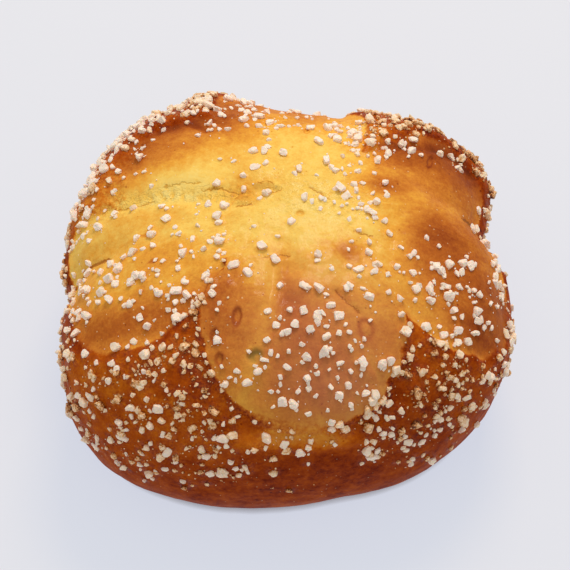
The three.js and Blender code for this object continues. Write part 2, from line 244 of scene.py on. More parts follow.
def girth_reach(turn):
    """Distance from the axis to the widest ring, a smooth curve through GIRTH_REACH."""
    count = len(GIRTH_REACH)
    reach = np.zeros_like(turn)
    for index, value in enumerate(GIRTH_REACH):
        off = turn - index * 2 * math.pi / count
        half = np.arctan2(np.sin(off), np.cos(off)) / 2
        half = np.where(np.abs(half) < 1e-9, 1e-9, half)
        reach += value * np.sin(count * half) / (count * np.tan(half))
    return reach


def off_middle(spot, p, q):
    """Distance from a spot's middle, in parts of its half size."""
    return np.hypot((p - spot["middle"][0]) / spot["half"][0], (q - spot["middle"][1]) / spot["half"][1])


def depth_inside(lobe, p, q):
    """How deep a place lies inside a lobe, in lean; negative outside."""
    return (1 - off_middle(lobe, p, q)) * min(lobe["half"])


def opening(p, q):
    """How deep a place lies inside the opened top; negative on the first crust."""
    return np.max([depth_inside(lobe, p, q) for lobe in LOBES], axis=0)


def off_line(line, p, q):
    """Distance from a line in lean, how far along it that is, from 0 to 1, and on which side, -1 or 1."""
    pieces = len(line["along"]) - 1
    nearest = np.full_like(p, np.inf)
    share = np.zeros_like(p)
    side = np.ones_like(p)
    for i in range(pieces):
        (p0, q0), (p1, q1) = line["along"][i], line["along"][i + 1]
        dp, dq = p1 - p0, q1 - q0
        t = ramp((p - p0) * dp + (q - q0) * dq, 0, dp * dp + dq * dq)
        distance = np.hypot(p - p0 - t * dp, q - q0 - t * dq)
        share = np.where(distance < nearest, (i + t) / pieces, share)
        side = np.where(distance < nearest, np.where(dp * (q - q0) < dq * (p - p0), -1, 1), side)
        nearest = np.minimum(nearest, distance)
    return nearest, share, side


def line_height(line, p, q):
    distance, share, _ = off_line(line, p, q)
    start, end = line["height"]
    return (start + (end - start) * share) * bell(distance / line["width"])


def relief(p, q, crispness=1):
    """Height of all lobes, ridges, valleys and lips over the plain dome."""
    height = sum(line_height(line, p, q) for line in LINES)
    height += sum(swell["height"] * bell(off_middle(swell, p, q)) for swell in SWELLS)
    in_front = depth_inside(FRONT_LOBE, p, q)
    step = rise(in_front, FRONT_STEP["softness"] * crispness)
    height += FRONT_STEP["height"] * step * ramp(-q, *FRONT_STEP["from"])
    moat = bell((in_front + FRONT_MOAT["out"]) / FRONT_MOAT["width"])
    height -= FRONT_MOAT["depth"] * moat * ramp(-q, *FRONT_MOAT["from"])
    inside = opening(p, q)
    lip = CRUST_LIP["front"] + (CRUST_LIP["back"] - CRUST_LIP["front"]) * ramp(q, *CRUST_LIP["grows"])
    edge = rise(-inside, CRUST_LIP["softness"] * crispness)
    return height + lip * edge * bell(inside / CRUST_LIP["width"])


def lean_of(direction):
    """Lean of each direction to the right and to the back, and its whole lean."""
    tilt = np.arccos(np.clip(direction[:, 2], -1, 1)) / (math.pi / 2)
    turn = np.arctan2(direction[:, 1], direction[:, 0])
    return tilt * np.cos(turn), tilt * np.sin(turn), tilt


def surface_point(direction, height=None):
    """Points of the loaf's surface; height is the relief over the plain dome, or that of the main forms."""
    p, q, tilt = lean_of(direction)
    level = np.hypot(direction[:, 0], direction[:, 1])
    is_dome = direction[:, 2] >= 0
    fullness = np.where(is_dome, DOME_FULLNESS, BELLY_FULLNESS)
    outward = level / girth_reach(np.arctan2(direction[:, 1], direction[:, 0]))
    upward = np.abs(direction[:, 2]) / np.where(is_dome, DOME_TOP - GIRTH_HEIGHT, BELLY_DEPTH)
    plain = (outward**fullness + upward**fullness) ** (-1 / fullness)
    if height is None:
        height = relief(p, q)
    point = direction * (plain + height * (1 - ramp(tilt, *RELIEF_ENDS)))[:, None]
    z = point[:, 2] + GIRTH_HEIGHT
    rounded = np.maximum(z + BASE_ROUNDING, 0) ** 2 / (4 * BASE_ROUNDING)
    point[:, 2] = np.where(z < BASE_ROUNDING, rounded, z)
    point[:, :2] += AXIS_PLACE
    return point


def waves(points, size):
    """Smooth unevenness from about -1 to 1, in waves of this many mm with two finer ones on them."""
    return np.array([noise.fractal(Vector(point) / size, 1.0, 2.0, 3) for point in points])


# Pearl sugar lies all over the upper half. Its nibs are looked for on spots spread evenly over all
# directions, and a spot carries one as often as the sugar is dense there, in grains a square centimetre.
SUGAR_SEED = 20
SUGAR_SPOTS = 16000
SPOT_SHAKE = 0.022  # how far a spot strays from its even place, as part of the loaf's size
GRAIN_RADIUS = (0.8, 2)  # mm
GRAIN_CLEARANCE = 0.6  # grains keep this share of their two radii apart
SUGAR_ON_TOP = 1.8
SUGAR_ON_CRUST = 8.5
SUGAR_ENDS = (0.72, 1.07)  # leans between which the sugar on the sides peters out
SUGAR_PATCHES = [
    patch(7, (0.1, -0.53), (0.19, 0.17)),  # lower right of the front lobe
    patch(-2, (-0.12, -0.36), (0.16, 0.26)),  # its bare left half
    patch(-2, (0.34, -0.34), (0.08, 0.1)),  # and its upper right edge
    patch(5, (-0.56, -0.15), (0.3, 0.13)),  # left lobe
    patch(5, (-0.27, -0.13), (0.09, 0.07)),  # its inner end
    patch(-5, (-0.62, -0.34), (0.1, 0.07)),  # and its bare lower end
    patch(7, (-0.36, -0.34), (0.09, 0.1)),  # tip of the front left corner
    patch(7, (-0.6, -0.76), (0.28, 0.1)),  # its foot
    patch(6, (0.6, -0.7), (0.16, 0.1)),  # foot of the front right corner
    patch(-3, (0.74, -0.5), (0.12, 0.14)),  # and its outer side
    patch(4.5, (0.55, -0.26), (0.14, 0.16)),  # right lobe
    patch(4, (0.82, -0.04), (0.1, 0.18)),  # and its outer end
    patch(6.5, (0.24, 0.2), (0.12, 0.12)),  # right of the torn middle
    patch(4, (0.35, 0.02), (0.1, 0.16)),
    patch(6.5, (-0.14, 0.64), (0.13, 0.11)),  # back lobe, beside the peak
    patch(8, (0.27, 0.54), (0.1, 0.09)),  # and at its right end
    patch(16, (0.38, 0.47), (0.08, 0.06)),  # back right corner's tip
    patch(-2, (-0.45, 0.38), (0.2, 0.12)),  # bare slopes below the back ridges
    patch(-2, (0.6, 0.3), (0.18, 0.14)),
    patch(-6, (0.66, 0.13), (0.14, 0.1)),
    patch(-9, (0.12, -0.92), (0.36, 0.14)),  # front wall
]
SUGAR_ON_RIDGES = {"more": 20, "out": 0.05, "width": 0.12}  # nearly continuous along both ridges


def spots_sum(spots, p, q):
    return sum(spot["more"] * bell(off_middle(spot, p, q)) for spot in spots)


def random_stream(seed):
    """A repeatable stream of numbers from 0 to 1."""
    state = seed
    while True:
        state = (state * 1664525 + 1013904223) % 2**32
        yield state / 2**32


def sugar_density(p, q, tilt):
    """Grains for each square centimetre at a lean."""
    crusted = rise(-opening(p, q), CRUST_LIP["softness"])
    density = SUGAR_ON_TOP + (SUGAR_ON_CRUST - SUGAR_ON_TOP) * crusted + spots_sum(SUGAR_PATCHES, p, q)
    shrink = 1 - SUGAR_ON_RIDGES["out"] / np.maximum(tilt, SUGAR_ON_RIDGES["out"])
    for ridge in (BACK_LEFT_RIDGE, BACK_RIGHT_RIDGE):
        distance, _, _ = off_line(ridge, p * shrink, q * shrink)
        density += SUGAR_ON_RIDGES["more"] * bell(distance / SUGAR_ON_RIDGES["width"]) * crusted
    return np.maximum(density, 0) * (1 - ramp(tilt, *SUGAR_ENDS))


def scatter_sugar():
    """Direction, place and radius of every grain on the loaf, the largest first."""
    random = random_stream(SUGAR_SEED)
    draws = np.array([[next(random) for _ in range(5)] for _ in range(SUGAR_SPOTS)])
    index = np.arange(SUGAR_SPOTS)
    height = 1 - (2 * index + 1) / SUGAR_SPOTS
    turn = index * math.pi * (3 - math.sqrt(5))
    level = np.sqrt(1 - height**2)
    way = np.column_stack([level * np.cos(turn), level * np.sin(turn), height])
    way += SPOT_SHAKE * (2 * draws[:, :3] - 1)
    way /= np.linalg.norm(way, axis=1)[:, None]
    p, q, tilt = lean_of(way)
    place = surface_point(way)
    reach = np.linalg.norm(place - [*AXIS_PLACE, GIRTH_HEIGHT], axis=1)
    spot_area = 4 * math.pi * reach**2 / SUGAR_SPOTS / 100
    chosen = np.nonzero((tilt <= SUGAR_ENDS[1]) & (draws[:, 3] <= sugar_density(p, q, tilt) * spot_area))[0]
    radius = GRAIN_RADIUS[0] + (GRAIN_RADIUS[1] - GRAIN_RADIUS[0]) * draws[:, 4] ** 2
    kept = []
    for i in chosen[np.argsort(-radius[chosen], kind="stable")]:
        gaps = np.linalg.norm(place[kept] - place[i], axis=1) if kept else np.array([])
        if np.all(gaps > GRAIN_CLEARANCE * (radius[i] + radius[kept])):
            kept.append(i)
    return way[kept], place[kept], radius[kept]


grain_way, grain_place, grain_radius = scatter_sugar()

# The mesh starts as a cube whose faces are cut into a grid. Blown up, its cells are crowded towards the
# top, where the fine relief is, and spread over the plain underside.
CUBE_CUTS = (41, 2)  # cuts across each cell, one pass after the other
CROWDING = 0.36

bpy.ops.object.select_all(action="DESELECT")
bpy.ops.mesh.primitive_cube_add(size=2, location=(0, 0, 0))
crust = bpy.context.object
crust.name = crust.data.name = "baked_crust"
bpy.ops.object.mode_set(mode="EDIT")
bpy.ops.mesh.select_all(action="SELECT")
for cuts in CUBE_CUTS:
    bpy.ops.mesh.subdivide(number_cuts=cuts)
bpy.ops.object.mode_set(mode="OBJECT")


def read_points(mesh):
    flat = np.empty(len(mesh.vertices) * 3)
    mesh.vertices.foreach_get("co", flat)
    return flat.reshape(-1, 3)


def write_points(mesh, points):
    mesh.vertices.foreach_set("co", np.asarray(points, dtype=np.float32).ravel())
    mesh.update()


def write_layer(mesh, name, values, kind="FLOAT"):
    """Keeps a value for each vertex, which the materials read by its name."""
    layer = mesh.attributes.new(name, kind, "POINT")
    layer.data.foreach_set("vector" if kind == "FLOAT_VECTOR" else "value", np.float32(values).ravel())


corner = np.tan(read_points(crust.data) * math.pi / 4)
corner /= np.linalg.norm(corner, axis=1)[:, None]
tilt = np.arccos(np.clip(corner[:, 2], -1, 1))
crowded = tilt - CROWDING * np.sin(tilt)
level = np.hypot(corner[:, 0], corner[:, 1])
flat_way = corner[:, :2] / np.maximum(level, 1e-9)[:, None]
direction = np.column_stack([flat_way * np.sin(crowded)[:, None], np.cos(crowded)])

p, q, lean = lean_of(direction)
plain_point = surface_point(direction)
wander = waves(plain_point, EDGE_WANDER["size"]) * EDGE_WANDER["reach"]
wander_p, wander_q = p + wander, q - wander
inside = opening(wander_p, wander_q)
blurred = spots_sum(BLURRED_EDGES, p, q)
edge_softness = EDGE_SOFTNESS["sharp"] + (EDGE_SOFTNESS["blurred"] - EDGE_SOFTNESS["sharp"]) * blurred
on_crust = ramp(inside / edge_softness, 1, -1)

height = relief(wander_p, wander_q, CRISPNESS)
height += sum(line_height(line, p, q) for line in FINE_LINES)
height += sum(spot["more"] * bell(off_middle(spot, p, q) ** 2) for spot in FINE_SPOTS)

crack_off = np.full_like(p, np.inf)
crack_gap = np.zeros_like(p)
for crack in CRACKS:
    distance, share, side = off_line(crack, p, q)
    nearer = distance * MM_OF_LEAN < np.abs(crack_off)
    tapered = crack["gap"] * ramp(share, 0, CRACK_TAPER) * ramp(share, 1, 1 - CRACK_TAPER)
    crack_gap = np.where(nearer, tapered, crack_gap)
    crack_off = np.where(nearer, distance * MM_OF_LEAN * side, crack_off)
crack_gap *= ramp(np.abs(crack_off), *CRACK_FADE)
height -= CRACK_DEPTH * crack_gap * bell(crack_off / CRACK_GROOVE)
for size, depth in UNEVENNESS:
    height += depth * (waves(plain_point, size) - UNEVENNESS_SINK)
from_tear, along_tear, _ = off_line(LONG_TEAR, wander_p, wander_q)
torn = bell(from_tear / TORN_CRUMB["width"]) * (1 - ramp(along_tear, TORN_CRUMB["end"], 1))
strands = waves(plain_point * TORN_CRUMB["across"], TORN_CRUMB["strand"])
height += TORN_CRUMB["depth"] * torn * (strands - TORN_CRUMB["level"])
sponge = spots_sum(SPONGY_SPOTS, p, q)
pores = waves(plain_point, SPONGE["strand"])
height -= SPONGE["depth"] * sponge * ramp(pores, *SPONGE["open"])

grain_tree = kdtree.KDTree(len(grain_place))
for i, place in enumerate(grain_place):
    grain_tree.insert(place, i)
grain_tree.balance()
nearest = [grain_tree.find(point) for point in plain_point]
off_grain = np.array([found[2] for found in nearest]) - grain_radius[[found[1] for found in nearest]]
height += GRAIN_COLLAR["height"] * bell(off_grain / GRAIN_COLLAR["width"])
# the unevenness of its sides stays within the CAD solid's box
write_points(crust.data, np.clip(surface_point(direction, height) * MM, cad_low, cad_high))

for polygon in crust.data.polygons:
    polygon.use_smooth = True

# How brown the dough is baked, from 0, pale crumb, to 1, nearly black, with more or less in places. Some
# places also carry painted shade or a painted highlight, as marked.
TOP_BAKE = 0.2
TOP_BAKE_SPOTS = [
    patch(0.34, (0.09, -0.5), (0.34, 0.28)),  # front lobe
    # painted shade down the seam of the front lobe's upper part
    patch(0.12, (-0.02, -0.22), (0.035, 0.14)),  # seam down its upper part
    patch(0.2, (-0.24, -0.42), (0.09, 0.2)),  # its left edge
    patch(0.1, (0.36, -0.42), (0.08, 0.16)),  # and its right edge
    patch(0.05, (0.0, -0.68), (0.24, 0.1)),
    patch(0.08, (-0.05, -0.62), (0.26, 0.13)),
    patch(-0.06, (-0.1, -0.56), (0.04, 0.1)),
    patch(0.14, (-0.24, -0.24), (0.09, 0.07)),  # beside the front left corner's tip
    patch(0.2, (-0.45, -0.13), (0.18, 0.09)),  # left lobe
    patch(0.46, (-0.55, -0.34), (0.3, 0.1)),
    patch(0.08, (-0.72, 0.0), (0.16, 0.14)),
    patch(0.06, (-0.5, 0.05), (0.2, 0.1)),
    patch(0.26, (-0.19, 0.62), (0.1, 0.12)),  # back lobe, beside the peak
    patch(0.36, (0.06, 0.8), (0.3, 0.16)),
    patch(0.35, (0.59, 0.375), (0.2, 0.11)),  # back right slope
    patch(0.3, (0.38, 0.22), (0.1, 0.07)),
    patch(0.16, (0.55, 0.24), (0.2, 0.06)),
    patch(0.4, (0.55, 0.04), (0.12, 0.13)),  # brown patch on the right
    patch(0.28, (0.78, 0.17), (0.14, 0.12)),
    patch(0.49, (0.72, -0.16), (0.2, 0.2)),  # right lobe
    patch(0.16, (0.5, -0.16), (0.14, 0.12)),
    patch(0.34, (0.7, -0.34), (0.16, 0.08)),
    patch(0.32, (0.25, -0.12), (0.06, 0.05)),
    patch(0.24, (-0.2, 0.165), (0.065, 0.05)),  # rough patch at the long tear's end
    patch(0.12, (-0.16, 0.24), (0.12, 0.05)),
    patch(0.14, (0.1, 0.6), (0.16, 0.12)),
    patch(-0.1, (-0.41, 0.26), (0.12, 0.05)),  # back left slope
    patch(0.14, (-0.5, 0.38), (0.12, 0.06)),
    patch(0.16, (-0.62, 0.31), (0.1, 0.12)),
    patch(-0.2, (-0.5, 0.19), (0.22, 0.05)),  # long tear
    patch(0.3, (0.88, -0.2), (0.07, 0.16)),  # right lobe's outer edge
    patch(0.18, (0.02, -0.35), (0.06, 0.09)),
    patch(0.12, (0.74, 0.06), (0.12, 0.08)),
    patch(0.2, (-0.76, -0.2), (0.09, 0.13)),  # left lobe's outer edge
    patch(0.05, (-0.53, 0.09), (0.1, 0.06)),
    patch(-0.06, (-0.37, 0.0), (0.12, 0.05)),
    patch(0.05, (0.42, -0.46), (0.1, 0.14)),
    patch(-0.05, (0.08, 0.1), (0.16, 0.16)),
    patch(0.25, (-0.54, 0.006), (0.013, 0.006)),  # specks on the left lobe
    patch(0.25, (-0.492, -0.126), (0.013, 0.005)),
]
PIT_RIM = {"more": 0.2, "width": 0.3}  # its width is in parts of the pit's half size
# a painted shadow line darkens the dough along the foot of each back ridge
FOOT_SHADOW_BAKE = {"more": 0.15, "width": 0.02}
# a painted highlight lightens the dough along the front lobe's welt
HIGHLIT_WELT = {"along": [(-0.05, -0.25), (-0.07, -0.37), (-0.09, -0.45), (-0.13, -0.56), (-0.17, -0.65)]}
WELT_HIGHLIGHT = {"more": -0.09, "width": 0.03}
# the back slopes are browned below the lifted crust, fading over this depth in lean
SLOPE_FADE = 0.13
SLOPE_BAKE_SPOTS = [
    patch(0.55, (-0.36, 0.5), (0.3, 0.24)),
    patch(0.5, (0.68, 0.46), (0.24, 0.2)),
    patch(0.26, (0.43, 0.4), (0.09, 0.08)),
]
CRUST_BAKE = 0.73
CRUST_BAKE_SPOTS = [
    patch(0.1, (0.15, -0.95), (0.6, 0.16)),  # front wall
    patch(-0.16, (-0.6, -0.48), (0.18, 0.14)),  # front left corner
    patch(-0.1, (-0.42, -0.68), (0.2, 0.1)),
    patch(0.03, (-0.28, -0.62), (0.06, 0.1)),
    patch(-0.07, (-0.33, -0.42), (0.08, 0.08)),
    patch(-0.16, (0.45, -0.4), (0.06, 0.07)),  # front right corner's tip
    patch(0.06, (0.5, -0.68), (0.12, 0.1)),
    patch(-0.3, (-0.74, 0.25), (0.14, 0.2)),  # back left ridge
    patch(-0.4, (0.33, 0.45), (0.07, 0.1)),  # back right corner's tip
    patch(-0.44, (0.05, -0.762), (0.22, 0.034)),  # roll in front of the front lobe
]
EDGE_BAKE = {"more": 0.08, "out": 0.008, "width": 0.012}  # the crust's very edge
FAR = 4  # past this a layer of distances only says far off: softnesses from an edge, mm from a crack
TORN_MIDDLE_SPONGE = 0.5  # how spongy the torn middle is beside the long tear

top_bake = TOP_BAKE + spots_sum(TOP_BAKE_SPOTS, p, q)
for pit in (*PITS, BURST_BLISTER):
    top_bake += PIT_RIM["more"] * bell((off_middle(pit, p, q) - 1) / PIT_RIM["width"])
top_bake += spots_sum(SLOPE_BAKE_SPOTS, p, q) * np.exp(-np.maximum(inside, 0) / SLOPE_FADE)
for foot in (RIGHT_FOOT, LEFT_FOOT):
    top_bake += FOOT_SHADOW_BAKE["more"] * bell(off_line(foot, p, q)[0] / FOOT_SHADOW_BAKE["width"])
top_bake += WELT_HIGHLIGHT["more"] * bell(off_line(HIGHLIT_WELT, p, q)[0] / WELT_HIGHLIGHT["width"])
crust_bake = CRUST_BAKE + spots_sum(CRUST_BAKE_SPOTS, p, q)
crust_bake += EDGE_BAKE["more"] * bell((inside + EDGE_BAKE["out"]) / EDGE_BAKE["width"])
write_layer(crust.data, "top_bake", top_bake)
write_layer(crust.data, "crust_bake", crust_bake)
write_layer(crust.data, "edge", np.clip(inside / edge_softness, -FAR, FAR))
write_layer(crust.data, "crack_off", np.clip(crack_off, -FAR, FAR))
write_layer(crust.data, "crack_gap", crack_gap)
write_layer(crust.data, "sponge", np.maximum(torn, TORN_MIDDLE_SPONGE * sponge) * (1 - on_crust))

# Melted sugar glazes the crust round its grains and along the front lobe's rim
GLAZE_ROUND_GRAINS = 1.2  # mm
GLAZED_RIM = {"out": 0.014, "width": 0.014, "from": (0.2, 0.35)}
rim = bell((depth_inside(FRONT_LOBE, wander_p, wander_q) + GLAZED_RIM["out"]) / GLAZED_RIM["width"])
rim *= ramp(-q, *GLAZED_RIM["from"])
glaze = np.maximum(bell(np.maximum(off_grain, 0) / GLAZE_ROUND_GRAINS), rim)
write_layer(crust.data, "glaze", glaze * on_crust)

# The opened dough was stretched outwards from the middle: its fibres run that way.
STRETCH_MIDDLE = (0.04, 0.12)
FIBROUS_FROM = (0.05, 0.25)  # leans from that middle over which the fibres begin to show
stretch_p, stretch_q = p - STRETCH_MIDDLE[0], q - STRETCH_MIDDLE[1]
stretched = np.hypot(stretch_p, stretch_q)
way = np.maximum(stretched, 1e-6)
write_layer(
    crust.data, "stretch", np.column_stack([stretch_p / way, stretch_q / way, stretched]), "FLOAT_VECTOR"
)
write_layer(crust.data, "fibrous", (1 - on_crust) * ramp(stretched, *FIBROUS_FROM))

# Where the dough has hardly set it is a warm gold: between the strands of the tear, and in the pores
PALE_TEAR = {"share": 0.9, "strands": (-0.1, 0.35)}
PALE_SPONGE = {"share": 0.6, "pores": (0.35, 0.8)}
pale = PALE_TEAR["share"] * torn * ramp(-strands, *PALE_TEAR["strands"])
pale += PALE_SPONGE["share"] * sponge * ramp(pores, *PALE_SPONGE["pores"])
write_layer(crust.data, "pale", np.clip(pale, 0, 1) * (1 - on_crust))

# It is olive inside the open pore, round a lighter middle
PORE_MIDDLE_PALENESS = 0.8
open_pore = bell(off_middle(OPEN_PORE, p, q) ** 2)
open_pore -= PORE_MIDDLE_PALENESS * bell(off_middle(PORE_MIDDLE, p, q))
write_layer(crust.data, "open_pore", np.maximum(open_pore, 0))

# The front lobe browned to a pinkish tan, most on its right side; part of that pink is a painted sheen of
# reflected light
BLUSH_AND_SHEEN = [
    patch(0.9, (0.14, -0.42), (0.28, 0.26)),
    patch(0.7, (0.2, -0.62), (0.2, 0.1)),
]
write_layer(crust.data, "blush_and_sheen", spots_sum(BLUSH_AND_SHEEN, p, q) * (1 - on_crust))


def linear(hex_colour):
    """An sRGB hex colour as linear red, green, blue and alpha."""
    channels = [int(hex_colour[i : i + 2], 16) / 255 for i in (1, 3, 5)]
    return [c / 12.92 if c <= 0.04045 else ((c + 0.055) / 1.055) ** 2.4 for c in channels] + [1]


def add_node(tree, kind, inputs=(), out=0, **settings):
    """Adds a node and gives one of its outputs. Inputs go by name or place, each a socket or a value."""
    node = tree.nodes.new("ShaderNode" + kind)
    for name, value in settings.items():
        setattr(node, name, value)
    for place, value in inputs.items() if isinstance(inputs, dict) else enumerate(inputs):
        if isinstance(value, bpy.types.NodeSocket):
            tree.links.new(value, node.inputs[place])
        else:
            node.inputs[place].default_value = value
    return node.outputs[out]


def fill_ramp(colour_socket, stops):
    """Gives a colour ramp its stops, each a place from 0 to 1 and an sRGB hex colour."""
    elements = colour_socket.node.color_ramp.elements
    while len(elements) < len(stops):
        elements.new(0.5)
    for element, (place, hex_colour) in zip(elements, stops):
        element.position, element.color = place, linear(hex_colour)


# Baked egg-washed skin. The opened dough is golden and satin, the first crust is darker, redder and more
# glossy. Both follow how brown they are baked, mottled in patches and in freckles of a millimetre, with
# faint streaks along the fibres of the opened dough. Melted sugar lies on the crust as a clear glaze.
SKIN_COLOURS = [
    (0.0, "#FBDC7C"),
    (0.2, "#F7C85C"),
    (0.36, "#EBA43A"),
    (0.5, "#D4822D"),
    (0.64, "#B96320"),
    (0.8, "#964417"),
    (1.0, "#6A2A0E"),
]
CRUST_COLOURS = [
    (0.3, "#DD8D30"),
    (0.5, "#CB6B14"),
    (0.65, "#B04E09"),
    (0.8, "#923603"),
    (0.9, "#722002"),
    (1.0, "#4A1203"),
]
PALE_CRUMB = "#FFCB55"
PORE_WALL = "#7A6C34"
# painted shade in the cracks
CRACK_SHADE_COLOUR = "#B07A24"
# the front lobe's pinkish tan, partly a painted sheen
BLUSH_AND_SHEEN_COLOUR = "#BE7150"
SUGAR_DUST = "#F6DFA8"
MOTTLE_SIZE = 9 * MM
FRECKLE_SIZE = 2.4 * MM
GRAIN_SIZE = 0.9 * MM
JAG_SIZE = 1.6 * MM
DUST = {"cell": 1.7 * MM, "share": 0.3, "radius": 0.22}  # specks of sugar; the radius is in cells
DUSTINESS = {"To Min": 0.45, "To Max": 0.32}  # how white they are on the opened dough and the first crust
PORES = {"cell": 2.6 * MM, "share": 0.25, "radius": 0.2}
DOT_BLUR = 0.07  # cells
FIBRES_ROUND = 12  # fibres across one radian of stretch
FIBRE_LENGTH = 0.25  # lean
SATIN = {"To Min": 0.5, "To Max": 0.36}  # roughness of the opened dough and the first crust
SPONGE_ROUGHNESS = 0.35
EGG_WASH = {"To Min": 0.1, "To Max": 0.06}  # its weight as a coat on both
GLAZE_WEIGHT = 0.32
GLAZE_FRECKLES = {"From Min": 0.42, "From Max": 0.56}  # freckles over which melted sugar sets in
BLUSH_AND_SHEEN_SHARE, OLIVE_SHARE, CRACK_SHADE_SHARE = 0.5, 0.75, 0.4  # how much of those colours shows at most
EDGE_FRAY = 0.8  # how far the crust's edge strays, in parts of its softness
CRACK_JAG = 0.7  # how far a crack strays from its line; the layer is in mm, so this is too
CRACK_BLUR = 0.3
CRACK_BEGINS = {"From Min": 0.02, "From Max": 0.1}  # half gaps in mm over which a crack begins to show
NOISE_ENDS = {"From Min": 0.3, "From Max": 0.7}  # a noise pattern hardly leaves these

crust_material = bpy.data.materials.new("egg_washed_crust")
crust_material.use_nodes = True
tree = crust_material.node_tree
shader = tree.nodes["Principled BSDF"]
place = add_node(tree, "TexCoord", out="Object")
layer = {
    name: add_node(tree, "Attribute", out="Fac", attribute_name=name)
    for name in (
        *("top_bake", "crust_bake", "edge", "crack_off", "crack_gap"),
        *("sponge", "glaze", "fibrous", "pale", "open_pore", "blush_and_sheen"),
    )
}
stretch = add_node(tree, "Attribute", out="Vector", attribute_name="stretch")
fibre_scale = (FIBRES_ROUND, FIBRES_ROUND, 1 / FIBRE_LENGTH)
fibre_place = add_node(tree, "Mapping", {"Vector": stretch, "Scale": fibre_scale})
mottle, freckle, grain, jag = [
    add_node(tree, "TexNoise", {"Vector": place, "Scale": 1 / size, "Detail": detail, "Roughness": rough})
    for size, detail, rough in (
        (MOTTLE_SIZE, 5, 0.62),
        (FRECKLE_SIZE, 4, 0.6),
        (GRAIN_SIZE, 2, 0.6),
        (JAG_SIZE, 3, 0.65),
    )
]
fibres = add_node(tree, "TexNoise", {"Vector": fibre_place, "Scale": 1, "Detail": 6, "Distortion": 1.6})


def spread(pattern, reach):
    """A noise pattern stretched out from minus to plus its reach."""
    ends = {"Value": pattern, **NOISE_ENDS, "To Min": -reach, "To Max": reach}
    return add_node(tree, "MapRange", ends, clamp=False)


def add_dots(look):
    """Round dots of uneven size, in a share of the pattern's cells."""
    cells = add_node(tree, "TexVoronoi", {"Vector": place, "Scale": 1 / look["cell"]}, out="Distance").node
    luck = add_node(tree, "SeparateColor", [cells.outputs["Color"]])
    ends = {"Value": luck, "From Min": 1 - look["share"], "From Max": 1, "To Max": look["radius"]}
    radius = add_node(tree, "MapRange", ends)
    room = add_node(tree, "Math", (radius, cells.outputs["Distance"]), operation="SUBTRACT")
    return add_node(tree, "MapRange", {"Value": room, "From Min": 0, "From Max": DOT_BLUR})


dust, pore_dots = add_dots(DUST), add_dots(PORES)
edge = add_node(tree, "Math", (layer["edge"], spread(jag, EDGE_FRAY)), operation="ADD")
layer["first_crust"] = add_node(tree, "MapRange", {"Value": edge, "From Min": 1, "From Max": -1})
# where a crack shows: the bake and the colour darken it there as painted shade, and the bump sinks it
off_crack = add_node(tree, "Math", (layer["crack_off"], spread(jag, CRACK_JAG)), operation="ADD")
off_crack = add_node(tree, "Math", [off_crack], operation="ABSOLUTE")
in_crack = add_node(tree, "Math", (layer["crack_gap"], off_crack), operation="SUBTRACT")
in_crack = add_node(tree, "MapRange", {"Value": in_crack, "From Min": -CRACK_BLUR, "From Max": CRACK_BLUR})
is_near = add_node(tree, "MapRange", {"Value": layer["crack_gap"], **CRACK_BEGINS})
layer["crack"] = add_node(tree, "Math", (in_crack, is_near), operation="MULTIPLY")

# each pattern adds this much to the bake, from its darkest to its lightest part
BROWNING = [
    (spread(mottle, 0.06), None),
    (spread(mottle, 0.045), "first_crust"),
    (spread(freckle, 0.045), None),
    (spread(freckle, 0.02), "first_crust"),
    (spread(grain, 0.035), None),
    (spread(fibres, 0.025), "fibrous"),
    (spread(grain, 0.1), "glaze"),
    (pore_dots, 0.16),
    # the cracks' painted shade
    (layer["crack"], 0.26),
]
# and this many mm to the skin's height
SKIN = [
    (spread(grain, 0.03), None),
    (spread(freckle, 0.06), None),
    (spread(fibres, 0.03), "fibrous"),
    (spread(grain, 0.25), "sponge"),
    (spread(grain, 0.12), "glaze"),
    (pore_dots, -0.15),
    (layer["crack"], -0.25),
]


def add_patterns(start, patterns):
    """A socket with patterns added to it, each only where its layer says, or by a fixed share."""
    total = start
    for pattern, where in patterns:
        share = layer[where] if isinstance(where, str) else where
        if share is not None:
            pattern = add_node(tree, "Math", (pattern, share), operation="MULTIPLY")
        total = add_node(tree, "Math", (pattern, total), operation="ADD")
    return total


def add_mix(share, colour, other):
    """One colour turning into another by a share."""
    return add_node(tree, "Mix", {0: share, 6: colour, 7: other}, out=2, data_type="RGBA")


bake_ends = {0: layer["first_crust"], 2: layer["top_bake"], 3: layer["crust_bake"]}
baked = add_patterns(add_node(tree, "Mix", bake_ends, data_type="FLOAT"), BROWNING)
skin_colour = add_node(tree, "ValToRGB", [baked])
fill_ramp(skin_colour, SKIN_COLOURS)
crust_colour = add_node(tree, "ValToRGB", [baked])
fill_ramp(crust_colour, CRUST_COLOURS)
# the front lobe's pinkish tan, partly a painted sheen
blush_and_sheen = add_node(tree, "Math", (layer["blush_and_sheen"], BLUSH_AND_SHEEN_SHARE), operation="MULTIPLY")
dustiness = add_node(tree, "MapRange", {"Value": layer["first_crust"], **DUSTINESS})
dusted = add_node(tree, "Math", (dust, dustiness), operation="MULTIPLY")
crack_shade = add_node(tree, "Math", (layer["crack"], CRACK_SHADE_SHARE), operation="MULTIPLY")
colour = add_mix(blush_and_sheen, skin_colour, linear(BLUSH_AND_SHEEN_COLOUR))
colour = add_mix(layer["pale"], colour, linear(PALE_CRUMB))
olive = add_node(tree, "Math", (layer["open_pore"], OLIVE_SHARE), operation="MULTIPLY")
colour = add_mix(olive, colour, linear(PORE_WALL))
colour = add_mix(crack_shade, colour, linear(CRACK_SHADE_COLOUR))
colour = add_mix(layer["first_crust"], colour, crust_colour)
colour = add_mix(dusted, colour, linear(SUGAR_DUST))
satin = add_node(tree, "MapRange", {"Value": layer["first_crust"], **SATIN})
roughness = add_node(tree, "Math", (layer["sponge"], SPONGE_ROUGHNESS, satin), operation="MULTIPLY_ADD")
